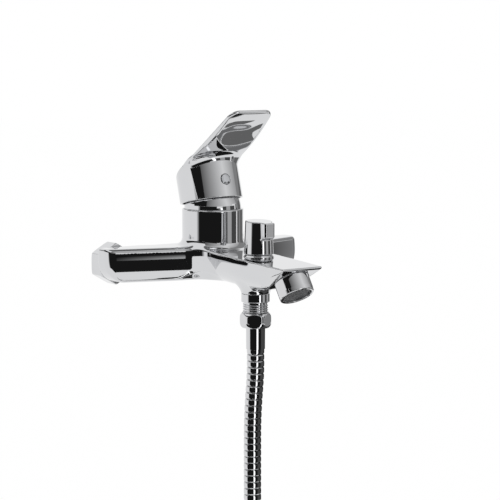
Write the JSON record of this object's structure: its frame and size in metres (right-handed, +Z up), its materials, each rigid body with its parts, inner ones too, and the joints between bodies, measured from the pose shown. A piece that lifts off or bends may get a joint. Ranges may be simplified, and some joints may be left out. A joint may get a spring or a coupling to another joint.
{
  "type": "wall-mounted bath shower mixer",
  "caption": "Chrome wall-mounted bath and shower mixer with a single lever, fixed spout with aerator, pull-up diverter and ribbed shower hose.",
  "frame": {"origin": "midway between the two inlet axes, on the plane of the union nuts' open ends that face the wall", "axes": "+X along the inlets, to the right seen from the front; +Y into the wall; +Z up"},
  "size_m": [0.2966, 0.2617, 0.3891],
  "materials": {
    "chrome": "polished",
    "brass": "machined",
    "steel": "satin",
    "rubber": "matt",
    "cartridge_plastic": "satin",
    "ceramic": "lapped",
    "index_plastic": "gloss",
    "aerator_plastic": "satin"
  },
  "bodies": {
    "mixer_body": {"body_casting": "chrome", "inlet_seat_left": "brass", "inlet_seat_right": "brass", "inlet_gasket_left": "rubber", "inlet_gasket_right": "rubber", "cartridge_seals": "rubber", "cartridge_base": "cartridge_plastic", "cartridge_housing": "cartridge_plastic", "fixed_disc": "ceramic", "ring_nut": "brass", "dome_ring": "chrome", "diverter_bonnet": "brass", "diverter_gland": "rubber", "diverter_spring": "steel", "aerator_shell": "chrome", "aerator_insert": "aerator_plastic", "aerator_mesh": "aerator_plastic", "aerator_gasket": "rubber", "shower_nipple": "chrome", "hose_washer": "rubber", "hose_tail": "brass", "hose_ferrule": "chrome", "hose_drop": "chrome", "hose_coil": "chrome", "far_ferrule": "chrome", "far_tail": "brass", "far_washer": "rubber"},
    "nut_left": {"union_nut_left": "chrome"},
    "nut_right": {"union_nut_right": "chrome"},
    "swivel": {"stem_guide": "cartridge_plastic", "pivot_pin": "steel"},
    "lever": {"lever_handle": "chrome", "lever_stem": "steel", "clamp_screw": "steel", "index_plug": "index_plastic"},
    "disc": {"moving_disc": "ceramic", "disc_carrier": "cartridge_plastic"},
    "diverter": {"diverter_knob": "chrome", "diverter_stem": "brass", "diverter_valve": "rubber"},
    "hose_nut_body": {"hose_nut": "chrome"},
    "cone_nut_body": {"cone_nut": "chrome"}
  },
  "joints": [
    {"name": "left_nut_turn", "type": "hinge", "parent": "mixer_body", "child": "nut_left", "pos_m": [-0.075, -0.0075, 0], "axis": [0, 1, 0], "continuous": true},
    {"name": "right_nut_turn", "type": "hinge", "parent": "mixer_body", "child": "nut_right", "pos_m": [0.075, -0.0075, 0], "axis": [0, 1, 0], "continuous": true},
    {"name": "lever_swing", "type": "hinge", "parent": "mixer_body", "child": "swivel", "pos_m": [0, -0.044, 0.044], "axis": [0, 0, 1], "range_deg": [-45, 45]},
    {"name": "lever_lift", "type": "hinge", "parent": "swivel", "child": "lever", "pos_m": [0, -0.044, 0.044], "axis": [-1, 0, 0], "range_deg": [-16, 0.5]},
    {"name": "disc_slide", "type": "slide", "parent": "swivel", "child": "disc", "axis": [0, -1, 0], "range_m": [-0.0031, 0.0002]},
    {"name": "diverter_pull", "type": "slide", "parent": "mixer_body", "child": "diverter", "axis": [0, 0, 1], "range_m": [0, 0.008], "stiffness_N_per_m": 250, "springref_m": -0.006, "deforming": ["diverter_spring"]},
    {"name": "hose_nut_turn", "type": "hinge", "parent": "mixer_body", "child": "hose_nut_body", "pos_m": [0, -0.106, -0.041], "axis": [0, 0, 1], "continuous": true},
    {"name": "cone_nut_turn", "type": "hinge", "parent": "mixer_body", "child": "cone_nut_body", "pos_m": [-0.18717, -0.22731, -0.2492], "axis": [-0.2837, -0.9589, 0], "continuous": true}
  ],
  "couplings": [
    {"joint": "disc_slide", "follows": "lever_lift", "m_per_rad": 0.0108}
  ]
}
